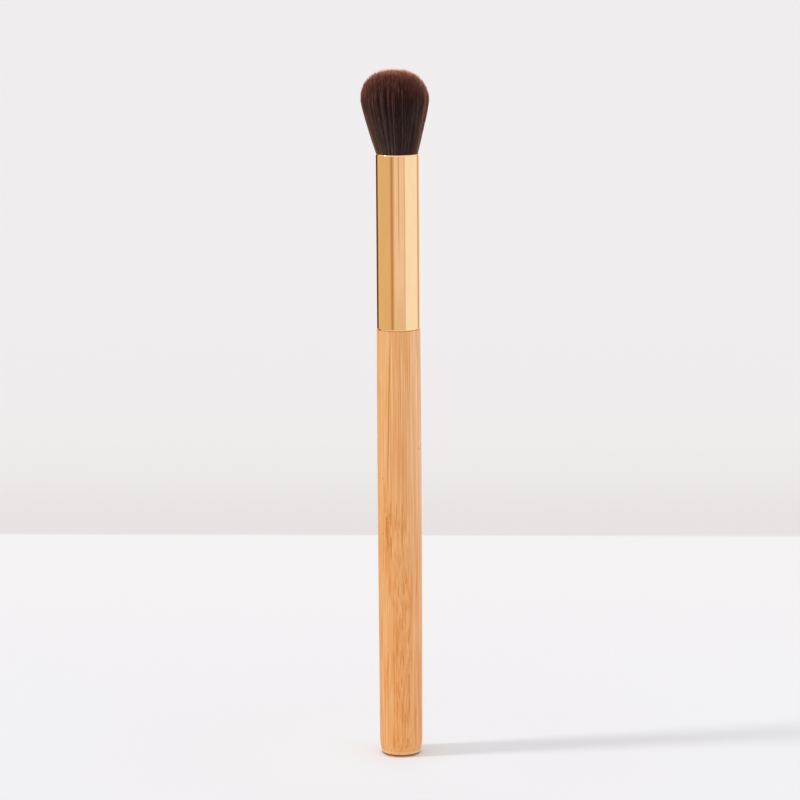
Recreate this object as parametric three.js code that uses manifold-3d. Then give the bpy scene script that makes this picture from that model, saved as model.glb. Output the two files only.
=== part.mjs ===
// Concealer buffer brush: a turned handle of laminated bamboo, a gold ferrule and a domed tuft.
// Millimetres, +Z up. The origin is the centre of the foot that the brush stands on, and -Y is the front.

import * as THREE from "three";
import { mergeGeometries, mergeVertices } from "three/addons/utils/BufferGeometryUtils.js";
import Module from "manifold-3d";

const wasm = await Module();
wasm.setup();

// Handle, from its foot to the ferrule's lower rim
const HANDLE_LENGTH = 100;
const HANDLE_SWELL_D = 10.15;
const HANDLE_SWELL_HEIGHT = 75;
const HANDLE_LOWER_D = 9.88;
const FOOT_D = 9.1;
const FOOT_ROUND_HEIGHT = 4;
const FOOT_EDGE_ROUND = 0.5;
const SHOULDER_SETBACK = 0.05;
const SHOULDER_EDGE_BREAK = 0.2;

// The three bamboo strips of the blank, glued side by side across X
const MIDDLE_STRIP_WIDTH = 4.15;
const MIDDLE_STRIP_OFFSET = 0.225;
const STRIP_GLUE_LINE = 0.05;

// Ferrule, a thin tube with rounded rims
const FERRULE_OD = 10.1;
const FERRULE_WALL = 0.3;
const FERRULE_LENGTH = 40;

// Tenon, its glue and the pocket of air above it
const TENON_GLUE_FILM = 0.25;
const TENON_CHAMFER = 0.8;
const GROOVE_COUNT = 3;
const GROOVE_WIDTH = 1.6;
const GROOVE_DEPTH = 0.35;
const GLUE_CAP = 0.8;
const END_POCKET = 2.2;

// Tuft inside the ferrule: its free depth, the resin-soaked root and the resin poured under it
const TUFT_FREE_DEPTH = 8.5;
const TUFT_ROOT_THICKNESS = 2.5;
const RESIN_THICKNESS = 3;
const RESIN_HOLLOW = 0.7;

// Tuft above the ferrule's mouth: the flare, the belly and the dome
const BELLY_D = 15.45;
const FLARE_HEIGHT = 12.7;
const FLARE_EASE = 1.8;
const DOME_HEIGHT = 6.8;
const TUFT_LEAN = 0.75;

// Strands of the tuft
const STRAND_COUNT = 310;
const STRAND_SIDES = 3;
const STRAND_FILL = 0.8;
const STRAND_TAPER = 2.2;

// Thread tied round the bundle just above its root
const THREAD_D = 0.35;
const THREAD_PITCH = 0.85;
const THREAD_TURNS = 2;
const THREAD_ROOM = 0.65;

// Clearance between pieces that are glued or seated together
const FIT_GAP = 0.05;

// Fineness of the round and curved faces
const ROUND_SEGMENTS = 48;
const CURVE_STEPS = 4;
const THREAD_SIDES = 6;
const THREAD_STEPS_PER_TURN = 24;
const FLARE_BEND = 0.65;
const GOLDEN_ANGLE = Math.PI * (3 - Math.sqrt(5));

// Radii and heights that follow from the sizes above
const ferruleR = FERRULE_OD / 2;
const boreR = ferruleR - FERRULE_WALL;
const filledBoreR = boreR - FIT_GAP;
const ferruleBottom = HANDLE_LENGTH + FIT_GAP;
const mouth = ferruleBottom + FERRULE_LENGTH;
const rootTop = mouth - TUFT_FREE_DEPTH;
const rootBottom = rootTop - TUFT_ROOT_THICKNESS;
const resinTop = rootBottom - FIT_GAP;
const resinBottom = resinTop - RESIN_THICKNESS;
const tenonTop = resinBottom - END_POCKET;
const tenonR = filledBoreR - TENON_GLUE_FILM - FIT_GAP;
const tenonLength = tenonTop - HANDLE_LENGTH;
const bundleRootR = boreR - THREAD_D - THREAD_ROOM;

// A closed geometry as a solid that can be joined and cut.
function solidOf(geometry) {
  const bare = geometry.clone();
  bare.deleteAttribute("normal");
  bare.deleteAttribute("uv");
  const merged = mergeVertices(bare);
  return new wasm.Manifold(
    new wasm.Mesh({
      numProp: 3,
      vertProperties: merged.attributes.position.array,
      triVerts: new Uint32Array(merged.index.array),
    }),
  );
}

// A solid's faces as a geometry.
function geometryOf(solid) {
  const { vertProperties, triVerts } = solid.getMesh();
  const geometry = new THREE.BufferGeometry();
  geometry.setAttribute("position", new THREE.BufferAttribute(vertProperties, 3));
  geometry.setIndex(new THREE.BufferAttribute(triVerts, 1));
  geometry.computeVertexNormals();
  return geometry;
}

// A profile of (radius, height) points turned about the Z axis.
function turned(profile) {
  return new THREE.LatheGeometry(profile, ROUND_SEGMENTS).rotateX(Math.PI / 2);
}

// The tenon's side from the shoulder up to its end, standing off by a clearance.
function tenonSide(standOff) {
  const side = tenonR + standOff;
  const points = [new THREE.Vector2(side, HANDLE_LENGTH)];
  const groovePitch = tenonLength / (GROOVE_COUNT + 1);
  for (let groove = 1; groove <= GROOVE_COUNT; groove += 1) {
    const low = HANDLE_LENGTH + groove * groovePitch - GROOVE_WIDTH / 2;
    const high = low + GROOVE_WIDTH;
    points.push(new THREE.Vector2(side, low));
    points.push(new THREE.Vector2(side - GROOVE_DEPTH, low + GROOVE_DEPTH));
    points.push(new THREE.Vector2(side - GROOVE_DEPTH, high - GROOVE_DEPTH));
    points.push(new THREE.Vector2(side, high));
  }
  points.push(new THREE.Vector2(side, tenonTop + standOff - TENON_CHAMFER));
  points.push(new THREE.Vector2(side - TENON_CHAMFER, tenonTop + standOff));
  return points;
}

// The whole turned handle: a rounded foot, a slight swell, the shoulder and the grooved tenon.
function handleBlank() {
  const footR = FOOT_D / 2;
  const lowerR = HANDLE_LOWER_D / 2;
  const swellR = HANDLE_SWELL_D / 2;
  const shoulderR = ferruleR - SHOULDER_SETBACK;
  const shoulderEdge = HANDLE_LENGTH - SHOULDER_EDGE_BREAK;
  const outline = new THREE.Path();
  outline.moveTo(0, 0);
  outline.lineTo(footR - FOOT_EDGE_ROUND, 0);
  outline.quadraticCurveTo(footR, 0, footR, FOOT_EDGE_ROUND);
  outline.quadraticCurveTo(lowerR, FOOT_ROUND_HEIGHT / 2, lowerR, FOOT_ROUND_HEIGHT);
  const lowerBend = (FOOT_ROUND_HEIGHT + HANDLE_SWELL_HEIGHT) / 2;
  outline.quadraticCurveTo(swellR, lowerBend, swellR, HANDLE_SWELL_HEIGHT);
  const upperBend = (HANDLE_SWELL_HEIGHT + shoulderEdge) / 2;
  outline.quadraticCurveTo(swellR, upperBend, shoulderR, shoulderEdge);
  outline.lineTo(shoulderR - SHOULDER_EDGE_BREAK, HANDLE_LENGTH);
  const profile = outline.getPoints(CURVE_STEPS);
  profile.push(...tenonSide(0));
  profile.push(new THREE.Vector2(0, tenonTop));
  return solidOf(turned(profile));
}

// One strip of the blank, sawn along two upright planes.
function stripGeometry(blank, fromX, toX) {
  const depth = 2 * Math.max(HANDLE_SWELL_D, FERRULE_OD);
  const saw = new THREE.BoxGeometry(toX - fromX, depth, 2 * tenonTop);
  saw.translate((fromX + toX) / 2, 0, 0);
  return geometryOf(blank.intersect(solidOf(saw)));
}

// The cement round the tenon: keyed into its grooves, with a hollow-topped cap on its end.
function tenonGlueGeometry() {
  const capTop = tenonTop + FIT_GAP + GLUE_CAP;
  const inside = tenonSide(FIT_GAP).reverse();
  const low = inside[inside.length - 1];
  low.y = ferruleBottom + FERRULE_WALL;
  const profile = [new THREE.Vector2(0, tenonTop + FIT_GAP), ...inside];
  profile.push(new THREE.Vector2(filledBoreR, low.y));
  profile.push(new THREE.Vector2(filledBoreR, capTop));
  profile.push(new THREE.Vector2(0, capTop - GLUE_CAP / 2));
  return turned(profile);
}

// The ferrule: one closed ring profile with a half-round rim at each end.
function ferruleGeometry() {
  const rimR = FERRULE_WALL / 2;
  const middleR = ferruleR - rimR;
  const outline = new THREE.Path();
  outline.moveTo(ferruleR, ferruleBottom + rimR);
  outline.lineTo(ferruleR, mouth - rimR);
  outline.absarc(middleR, mouth - rimR, rimR, 0, Math.PI);
  outline.lineTo(boreR, ferruleBottom + rimR);
  outline.absarc(middleR, ferruleBottom + rimR, rimR, Math.PI, 2 * Math.PI);
  return turned(outline.getPoints(CURVE_STEPS));
}

// The resin under the root: a plug whose lower face is drawn up in the middle as it cures.
function rootResinGeometry() {
  const outline = new THREE.Path();
  outline.moveTo(0, resinBottom + RESIN_HOLLOW);
  outline.quadraticCurveTo(filledBoreR / 2, resinBottom + RESIN_HOLLOW, filledBoreR, resinBottom);
  outline.lineTo(filledBoreR, resinTop);
  outline.lineTo(0, resinTop);
  return turned(outline.getPoints(CURVE_STEPS));
}

// How far the bundle's outer strands reach from the axis, edge to edge, between the root and the mouth.
function bundleRadius(height) {
  const share = (height - rootTop) / TUFT_FREE_DEPTH;
  return bundleRootR + (filledBoreR - bundleRootR) * share;
}

// A steady helix about the Z axis.
class Helix extends THREE.Curve {
  constructor(radius, start, pitch, turns) {
    super();
    Object.assign(this, { radius, start, pitch, turns });
  }

  getPoint(t, target = new THREE.Vector3()) {
    const angle = 2 * Math.PI * this.turns * t;
    const height = this.start + this.pitch * this.turns * t;
    return target.set(this.radius * Math.cos(angle), this.radius * Math.sin(angle), height);
  }
}

// The least gap between stretches of a winding that lie half a turn or more apart along it.
function leastGap(points, stepsPerTurn, diameter) {
  let least = Infinity;
  for (let first = 0; first < points.length; first += 1) {
    for (let second = first + stepsPerTurn / 2; second < points.length; second += 1) {
      least = Math.min(least, points[first].distanceTo(points[second]));
    }
  }
  return least - diameter;
}

// The thread: one unbroken tube wound round the bundle.
function bindingThreadGeometry() {
  const threadR = THREAD_D / 2;
  const start = rootTop + FIT_GAP + threadR;
  const end = start + THREAD_PITCH * THREAD_TURNS;
  const helix = new Helix(bundleRadius(end) + FIT_GAP + threadR, start, THREAD_PITCH, THREAD_TURNS);
  const steps = THREAD_TURNS * THREAD_STEPS_PER_TURN;
  const gap = leastGap(helix.getSpacedPoints(steps), THREAD_STEPS_PER_TURN, THREAD_D);
  console.log(`binding_thread: least gap to itself ${gap.toFixed(2)} mm`);
  const section = new THREE.Shape();
  for (let side = 0; side < THREAD_SIDES; side += 1) {
    const angle = (2 * Math.PI * side) / THREAD_SIDES;
    const corner = [threadR * Math.cos(angle), threadR * Math.sin(angle)];
    if (side === 0) section.moveTo(...corner);
    else section.lineTo(...corner);
  }
  return new THREE.ExtrudeGeometry(section, { steps, extrudePath: helix });
}

// Half a strand's thickness, as a share of the radius that holds all the strand centres.
const strandShare = (STRAND_FILL * Math.sqrt(Math.PI / STRAND_COUNT)) / 2;

// The tuft's outer curve from the ferrule's mouth to the belly: (radius, height above the mouth).
const flare = new THREE.QuadraticBezierCurve(
  new THREE.Vector2(filledBoreR, 0),
  new THREE.Vector2(BELLY_D / 2, FLARE_HEIGHT - FLARE_EASE),
  new THREE.Vector2(BELLY_D / 2, FLARE_HEIGHT),
);

// A strand's stations from root to shoulder, as [height above the mouth, radius of the whole bundle].
function strandStations(tipHeight) {
  const bend = flare.getPoint(FLARE_BEND);
  const shoulder = Math.max(FLARE_HEIGHT, tipHeight - STRAND_TAPER);
  return [
    [rootTop - TUFT_ROOT_THICKNESS / 2 - mouth, bundleRootR],
    [0, filledBoreR],
    [bend.y, bend.x],
    [shoulder, BELLY_D / 2],
  ];
}

// One strand: three-sided along its run and drawn to a point on the dome. Its ratio is its distance
// from the tuft's centre line, from 0 in the middle to 1 at the outside, the same at every height.
function strandGeometry(ratio, angle) {
  const tipShare = ratio / (1 + strandShare);
  const tipHeight = FLARE_HEIGHT + DOME_HEIGHT * Math.sqrt(1 - tipShare ** 2);
  const lean = (height) => (-TUFT_LEAN * Math.max(0, height)) / (FLARE_HEIGHT + DOME_HEIGHT);
  const stations = strandStations(tipHeight);
  const corners = [];
  for (const [height, bundleR] of stations) {
    const centres = bundleR / (1 + strandShare);
    for (let side = 0; side < STRAND_SIDES; side += 1) {
      const turn = angle + (2 * Math.PI * side) / STRAND_SIDES;
      const x = ratio * centres * Math.cos(angle) + strandShare * centres * Math.cos(turn);
      const y = ratio * centres * Math.sin(angle) + strandShare * centres * Math.sin(turn);
      corners.push(x + lean(height), y, mouth + height);
    }
  }
  const tipR = (tipShare * BELLY_D) / 2;
  corners.push(tipR * Math.cos(angle) + lean(tipHeight), tipR * Math.sin(angle), mouth + tipHeight);

  const faces = [2, 1, 0];
  for (let station = 0; station < stations.length; station += 1) {
    const isLast = station === stations.length - 1;
    for (let side = 0; side < STRAND_SIDES; side += 1) {
      const here = station * STRAND_SIDES + side;
      const next = station * STRAND_SIDES + ((side + 1) % STRAND_SIDES);
      if (isLast) faces.push(here, next, stations.length * STRAND_SIDES);
      else faces.push(here, next, next + STRAND_SIDES, here, next + STRAND_SIDES, here + STRAND_SIDES);
    }
  }
  const geometry = new THREE.BufferGeometry();
  geometry.setAttribute("position", new THREE.Float32BufferAttribute(corners, 3));
  geometry.setIndex(faces);
  return geometry;
}

// The tuft: strands set out in a sunflower spiral, so that none cross, on the resin-soaked root.
function tuftGeometry() {
  const strands = [];
  for (let strand = 0; strand < STRAND_COUNT; strand += 1) {
    const ratio = Math.sqrt((strand + 0.5) / (STRAND_COUNT - 0.5));
    strands.push(strandGeometry(ratio, strand * GOLDEN_ANGLE));
  }
  const root = turned([
    new THREE.Vector2(0, rootBottom),
    new THREE.Vector2(filledBoreR, rootBottom),
    new THREE.Vector2(filledBoreR, rootTop),
    new THREE.Vector2(0, rootTop),
  ]);
  return geometryOf(solidOf(root).add(solidOf(mergeGeometries(strands))));
}

// Materials

function bamboo(color) {
  return new THREE.MeshStandardMaterial({ color, roughness: 0.5, metalness: 0 });
}

function goldMetal() {
  return new THREE.MeshStandardMaterial({ color: 0xe4b581, roughness: 0.15, metalness: 1 });
}

function curedGlue() {
  return new THREE.MeshStandardMaterial({ color: 0xe8dcc0, roughness: 0.6, metalness: 0 });
}

function curedResin() {
  return new THREE.MeshStandardMaterial({ color: 0xc9a24f, roughness: 0.25, metalness: 0 });
}

function cottonThread() {
  return new THREE.MeshStandardMaterial({ color: 0xe6e0d4, roughness: 0.9, metalness: 0 });
}

function brownFilament() {
  return new THREE.MeshStandardMaterial({ color: 0x3a2724, roughness: 0.45, metalness: 0 });
}

// Assembly

const brush = new THREE.Group();

function addPiece(name, geometry, material) {
  const piece = new THREE.Mesh(geometry, material);
  piece.name = name;
  brush.add(piece);
}

const blank = handleBlank();
const leftSeam = MIDDLE_STRIP_OFFSET - MIDDLE_STRIP_WIDTH / 2;
const rightSeam = MIDDLE_STRIP_OFFSET + MIDDLE_STRIP_WIDTH / 2;
const halfLine = STRIP_GLUE_LINE / 2;
const outside = Math.max(HANDLE_SWELL_D, FERRULE_OD);
addPiece("handle_left_strip", stripGeometry(blank, -outside, leftSeam - halfLine), bamboo(0xe8ad74));
addPiece(
  "handle_middle_strip",
  stripGeometry(blank, leftSeam + halfLine, rightSeam - halfLine),
  bamboo(0xe2a267),
);
addPiece("handle_right_strip", stripGeometry(blank, rightSeam + halfLine, outside), bamboo(0xe8b78a));
addPiece("tenon_glue", tenonGlueGeometry(), curedGlue());
addPiece("ferrule", ferruleGeometry(), goldMetal());
addPiece("root_resin", rootResinGeometry(), curedResin());
addPiece("binding_thread", bindingThreadGeometry(), cottonThread());
addPiece("tuft", tuftGeometry(), brownFilament());

export default brush;
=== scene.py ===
"""Concealer buffer brush: a laminated bamboo handle, a gold ferrule and a dense brown tuft.

Metres, in the frame of the solids: +Z up, -Y the front, the origin at the centre of the handle's foot.
"""

import math

import bpy
import numpy as np
from mathutils import Euler, Matrix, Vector
from mathutils.kdtree import KDTree


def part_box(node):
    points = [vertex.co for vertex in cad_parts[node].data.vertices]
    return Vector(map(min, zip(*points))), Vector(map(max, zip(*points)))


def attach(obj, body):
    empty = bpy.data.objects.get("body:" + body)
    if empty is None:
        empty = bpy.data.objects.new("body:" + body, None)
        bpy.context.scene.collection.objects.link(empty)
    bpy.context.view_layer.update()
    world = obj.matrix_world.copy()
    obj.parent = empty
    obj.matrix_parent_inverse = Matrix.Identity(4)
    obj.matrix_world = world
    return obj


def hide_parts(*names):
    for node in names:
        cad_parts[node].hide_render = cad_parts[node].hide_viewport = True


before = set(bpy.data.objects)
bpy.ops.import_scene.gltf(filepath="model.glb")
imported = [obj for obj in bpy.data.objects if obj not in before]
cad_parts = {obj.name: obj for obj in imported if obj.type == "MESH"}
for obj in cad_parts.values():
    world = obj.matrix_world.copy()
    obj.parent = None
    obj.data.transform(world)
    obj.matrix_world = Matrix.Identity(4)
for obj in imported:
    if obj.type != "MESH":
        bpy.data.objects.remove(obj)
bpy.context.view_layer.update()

MM = 0.001
SEED = 7
GOLDEN_ANGLE = math.pi * (3 - math.sqrt(5))
SHARP_ANGLE = math.radians(40)

# Handle, as the solids have it, but with a sharper shoulder and with broken edges at the seams
HANDLE_LENGTH = 100 * MM
SWELL_R = 10.15 / 2 * MM
SWELL_HEIGHT = 75 * MM
LOWER_R = 9.88 / 2 * MM
FOOT_R = 9.1 / 2 * MM
FOOT_ROUND_HEIGHT = 4 * MM
FOOT_EDGE = 0.5 * MM
SHOULDER_SETBACK = 0.05 * MM
SHOULDER_EDGE = 0.08 * MM
TENON_CHAMFER = 0.8 * MM
SEAM_EDGE = 0.02 * MM
EDGE_STEPS = 4
FOOT_ROUND_STEPS = 14
BODY_STEPS = 24
NECK_STEPS = 10
ARC_STEPS = 28

# Bamboo, with places and heights on the handle in millimetres
DIVE_BELOW = 58
FIBRE_WANDER = 0.5
GROUND_RUN = (10, 96)
BUNDLE_FADE = (46, 60)
FINE_LINES_RISE = (44, 64)
TOP_LINES_RISE = (82, 98)
MARKS_FADE = (-1.5, -0.5)
# A highlight painted as a pale ring above the foot's edge, with its strength, and shade painted as a dark
# line on that edge
FOOT_HIGHLIGHT_RING = (0.5, 0.65, 1.0, 1.4)
CONTACT_SHADE_START = (0.16, 0.32)
CONTACT_SHADE_END = (0.42, 0.54)
FOOT_HIGHLIGHT_STRENGTH = 0.5

# Bamboo colours: the share that fine fibres have in its shade beside broad bands, how far a fibre's red,
# green and blue spread round the ground colour, the colours of its marks, and the colours of a highlight
# painted above the foot's edge and of shade painted on that edge
FIBRE_SHARE = 0.78
FIBRE_SPREAD = (0.055, 0.15, 0.3)
BUNDLE_COLOUR = (0.75, 0.25, 0.042)
DEEP_LINE_COLOUR = (0.74, 0.31, 0.08)
PALE_LINE_COLOUR = (0.95, 0.6, 0.31)
FOOT_HIGHLIGHT_COLOUR = (0.92, 0.6, 0.34)
CONTACT_SHADE_COLOUR = (0.06, 0.022, 0.02)

# The scar of a culm node, in millimetres
SCAR_X = -2.6
SCAR_EDGE = (0.3, 1.5)
SCAR_RUN = (43, 52, 56, 67)
SCAR_SWERVE = 1.2
SCAR_COLOUR = (0.72, 0.25, 0.045)

# Lines in the bamboo: the share of their half width that is full, and how far their ends fade, as a
# share of their length
LINE_CORE = 0.2
LINE_FADE = 0.2

# Lines in the bamboo, in millimetres: x at the top, drift per mm, half width, lower end, upper end,
# strength and colour
LEFT_LINES = (
    (-1.95, 0.0237, 0.22, 66, 99, 0.8, (0.6, 0.2, 0.035)),
    (-3.48, 0.0, 0.25, 57, 65, 0.6, (0.66, 0.25, 0.06)),
    (-2.05, 0.0, 0.2, 55, 61, 0.7, (0.62, 0.22, 0.05)),
    (-3.0, 0.02, 0.3, 52.5, 57.5, 0.7, (0.55, 0.14, 0.03)),
    (-2.75, 0.0, 0.3, 50, 55, 0.7, (0.66, 0.22, 0.045)),
    (-2.0, 0.0, 0.3, 47.5, 53, 0.9, (0.7, 0.24, 0.04)),
)
MIDDLE_LINES = (
    (-1.6, 0.0, 0.22, 80, 99, 0.7, (0.95, 0.62, 0.28)),
    (-0.75, 0.0, 0.17, 55.5, 60.5, 0.6, (0.6, 0.22, 0.05)),
    (0.54, 0.0, 0.19, 49.5, 61, 0.75, (0.6, 0.22, 0.05)),
    (-1.55, 0.0, 0.2, 4, 42, 0.55, (0.68, 0.22, 0.04)),
    (-1.0, 0.0, 0.16, 12, 36, 0.5, (0.68, 0.22, 0.04)),
    (1.9, 0.0, 0.22, 15.5, 20.5, 0.75, (0.64, 0.2, 0.04)),
    (1.9, 0.0, 0.22, 10.5, 15, 0.75, (0.64, 0.2, 0.04)),
)
RIGHT_LINES = (
    (2.72, 0.0, 0.22, 64, 98, 0.6, (0.95, 0.58, 0.32)),
    (3.15, -0.008, 0.3, 40, 94, 0.45, (0.78, 0.33, 0.1)),
    (4.45, 0.0, 0.5, 2, 26, 0.5, (0.76, 0.26, 0.08)),
)

# Pits in the bamboo, in millimetres: x and height
LEFT_PITS = ((-2.85, 55.6), (-3.9, 65.8), (-3.9, 52.8))
RIGHT_PITS = ((4.45, 72.6),)
PIT_EDGE = (0.07, 0.24)
PIT_SQUEEZE = 0.6
PIT_STRENGTH = 0.5
PIT_COLOUR = (0.5, 0.14, 0.035)

# Ferrule, with the rim's outline in millimetres: inward from the outside, back from the end
FERRULE_WALL = 0.3 * MM
FIT_GAP = 0.05 * MM
TENON_ROOM = 0.3 * MM
RIM_OUTLINE = (
    (0, 0.36), (0, 0.32), (0.012, 0.27), (0.1, 0.07), (0.13, 0.02), (0.18, 0), (0.24, 0), (0.3, 0.06),
)
ROUND_STEPS = 192
GOLD_COLOURS = ((0.865, 0.555, 0.27), (0.85, 0.54, 0.255))

# Tuft
ROOT_DEPTH = 8.5 * MM
ROOT_THICKNESS = 2.5 * MM
ROOT_ROOM = 1.0 * MM
ROOT_EDGE = 0.15 * MM
ROOT_STEPS = 96
SOAKED_COLOURS = ((0.02, 0.011, 0.01), (0.09, 0.05, 0.03))
BELLY_R = 15.45 / 2 * MM
FLARE_HEIGHT = 12.7 * MM
FLARE_EASE = 1.8 * MM
FLARE_STEPS = 60
DOME_HEIGHT = 6.8 * MM
DOME_POWER = 2.6
TUFT_LEAN = 0.75 * MM
LEAN_START = 2.5 * MM
TUFT_SECTORS = 4

# Filaments: rings at the root, at shares of the height, at the start of the taper and at the tip
FILAMENT_COUNT = 12000
FILAMENT_R = 0.045 * MM
FILAMENT_SIDES = 3
RING_SHARES = (0.0, 0.25, 0.45, 0.65, 0.82)
RING_WIDTHS = (1, 1, 1, 1, 1, 0.95, 0.8, 0.25)
TIP_TAPER = 1.6 * MM
FACING_SHARE = 0.85

# Wisps and clumps, on a disc of radius 1 that the tuft's own radius stretches, with the run of their
# gathering: the share of the height and how far filaments are drawn together there
WISP_COUNT = 1500
CLUMP_COUNT = 900
HOME_JITTER = 0.012
WISP_JITTER = 0.01
CLUMP_JITTER = 0.02
WISP_PULL = (0.4, 0.9)
CLUMP_PULL = (0.0, 0.25)
GATHER_RUN = ((0.0, 0.0), (0.5, 1.0), (0.75, 0.85), (1.0, 0.35))
STRAY_SHARE = 0.3
STRAY_SWAY = 0.08
WISP_SWAY = 0.03
FILAMENT_SWAY = 0.008
SWAY_POWER = 1.4
WAVE = 0.018
EDGE_REACH = 1.015
WISP_TURN = 0.14

# Trim of the dome: how far all tips stay below it, and how much shorter filaments are cut
TIP_DROP = 0.28 * MM
MEAN_TRIM = 0.65 * MM
TRIM_SPREAD = 0.28 * MM
WISP_TRIM = 0.1 * MM
LONGEST_TRIM = 2 * MM

# Shades of the filaments, from 0 to 1, in columns of their map, with the tall filaments last
SHADES = 64
TALL_SHADE = 56 / SHADES
TALL_SHORTNESS = 0.35 * MM
TALL_RISE = 0.9
LIGHT_GAP = 1.7
LIGHT_TONES = (0.6, 1.0)
DARK_TONES = (0.0, 0.15)
LIGHTEST_TONE = 0.99
TONE_SPREAD = 0.06
SHADE_WEIGHT = 0.95
FLECK_CONTRAST = 2.4
FLECKS_ACROSS = 90
FLECKS_ALONG = 17

# Map of the filaments: the length it spans, the free edge of a column and the height of an end face
STRAND_SPAN = 30 * MM
COLUMN_MARGIN = 0.1
STRAND_END = 0.004

# Filament colours: millimetres from the tip, then the dark, the light and the tall filaments there; the
# tall filaments' tan ends are a painted glow of light shining through thin tips
FILAMENT_RUN = (
    (20, (0.024, 0.0165, 0.0165), (0.078, 0.058, 0.057), (0.03, 0.023, 0.022)),
    (8, (0.013, 0.0088, 0.009), (0.084, 0.058, 0.056), (0.028, 0.018, 0.017)),
    (2.5, (0.01, 0.0066, 0.0066), (0.094, 0.05, 0.046), (0.034, 0.017, 0.015)),
    (1.2, (0.005, 0.0025, 0.0024), (0.105, 0.04, 0.036), (0.05, 0.017, 0.014)),
    (0.5, (0.005, 0.002, 0.0018), (0.13, 0.043, 0.035), (0.16, 0.048, 0.028)),
    (0, (0.02, 0.0068, 0.0052), (0.32, 0.1, 0.066), (0.95, 0.33, 0.1)),
)

# Binding thread
THREAD_R = 0.175 * MM
THREAD_PITCH = 0.85 * MM
THREAD_SIDES = 12
THREAD_STEPS = 72
THREAD_TWISTS = 120
THREAD_FUZZ = 60
THREAD_COLOURS = ((0.6, 0.54, 0.44), (0.82, 0.78, 0.7))

# Glue and resin: the light and the dark of their clouds
GLUE_COLOURS = ((0.82, 0.74, 0.55), (0.74, 0.65, 0.45))
RESIN_COLOURS = ((0.6, 0.38, 0.09), (0.45, 0.25, 0.05))

# Map of a lofted mesh: the share that its wall takes up, and the places of its two ends
WALL_SHARE = 0.9
CAP_PLACES = ((0.05, 0.95), (0.15, 0.95))
CAP_R = 0.04

# Floor, with the two colours of its faint clouds at the front and at the back
FLOOR_HALF = 6.0
FLOOR_FRONT = ((0.9, 0.897, 0.915), (0.885, 0.882, 0.9))
FLOOR_BACK = ((0.92, 0.905, 0.912), (0.905, 0.89, 0.897))
BACKDROP_DISTANCE = 0.235
BACKDROP_SLANT = 0.043
BACKDROP_BLUR = 0.0015
FRONT_RUN = (0.0, 0.22)
# Painted light on the floor: a cool tint round the foot that offsets the bamboo's warm bounce light, and a
# warm ring in front of the foot painted as that bounce light's glow
BOUNCE_OFFSET_PATCH = (4 * MM, 45 * MM)
BOUNCE_OFFSET_COLOUR = (0.9, 0.925, 0.955)
BOUNCE_GLOW_RING = (4.5 * MM, 5.3 * MM)
BOUNCE_GLOW_FRONT = (-3.6 * MM, -2.4 * MM)
BOUNCE_GLOW_COLOUR = (0.97, 0.56, 0.17)

# Backdrop: metres beyond its edge and the colour there
BACKDROP_RUN = (
    (0.0, (0.807, 0.76, 0.76)),
    (0.03, (0.812, 0.769, 0.768)),
    (0.086, (0.847, 0.815, 0.807)),
    (0.158, (0.871, 0.838, 0.835)),
    (0.242, (0.875, 0.846, 0.852)),
    (0.516, (0.871, 0.853, 0.861)),
)

# Studio colours
PLAIN_LIGHT = (0.8, 0.8, 0.8)
MIRRORED_SKY = (1.1, 1.15, 1.35)
MIRRORED_GROUND = (1.02, 1.0, 1.05)
BACKDROP_SEEN = (0.872, 0.856, 0.864)
PALE = (1.08, 1.1, 1.2)
GAP = (0.1, 0.035, 0.018)
WARM = (0.866, 0.74, 0.543)
TAN = (0.8, 0.64, 0.46)
BROWN = (0.58, 0.39, 0.21)
DUSKY = (0.83, 0.68, 0.58)
FRONT = (0.985, 0.935, 1.02)
LOW_FRONT = (0.9, 0.82, 0.75)
SEAM = (0.85, 0.8, 0.85)
CENTRE_LINE = (0.74, 0.58, 0.42)
BRIGHT = (1.11, 1.24, 1.5)
EDGE = (0.75, 0.62, 0.5)

# Studio panels: degrees round the brush from the front, towards +X, and the colour there
STUDIO_BANDS = (
    (-180, PALE), (-152, PALE),
    (-147, GAP), (-129, GAP),
    (-124, WARM), (-46, WARM),
    (-40, TAN), (-33, BROWN), (-29, BROWN), (-22, DUSKY),
    (-15, FRONT), (29, FRONT),
    (33, SEAM), (37, SEAM),
    (41, BRIGHT), (116, BRIGHT),
    (123, EDGE), (136, EDGE),
    (142, PALE), (180, PALE),
)
FRONT_SPAN = (-18, -12, 29, 33)
CENTRE_LINE_TURN = 4.6
CENTRE_LINE_EDGE = (1.5, 4.5)

# Heights in the studio, as the rise of the light's direction
CENTRE_LINE_END = (-0.13, -0.115)
LOW_FRONT_EDGE = (-0.145, -0.137)
GROUND_EDGE = (-0.7, -0.5)
SKY_EDGE = (0.25, 0.5)

# Sun, with the heading of its shadow: 14 back for every 96 to the right
SUN_STRENGTH = 0.9
SUN_SIZE = math.radians(8)
SUN_ELEVATION = math.radians(40)
SUN_HEADING = math.atan2(14, 96)

# Camera
CAMERA_DISTANCE = 700 * MM
CAMERA_HEIGHT = 206 * MM
CAMERA_LENS_MM = 139.52
CAMERA_NEAR = 10 * MM
CAMERA_PITCH = math.radians(9.929)
CAMERA_ROLL = math.radians(-0.384)
CAMERA_YAW = math.radians(-0.0185)

ferrule_low, ferrule_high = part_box("ferrule")
ferrule_r = ferrule_high.x
mouth = ferrule_high.z
mouth_r = ferrule_r - FERRULE_WALL - FIT_GAP
root_r = ferrule_r - FERRULE_WALL - ROOT_ROOM
tenon_r = mouth_r - TENON_ROOM


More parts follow.
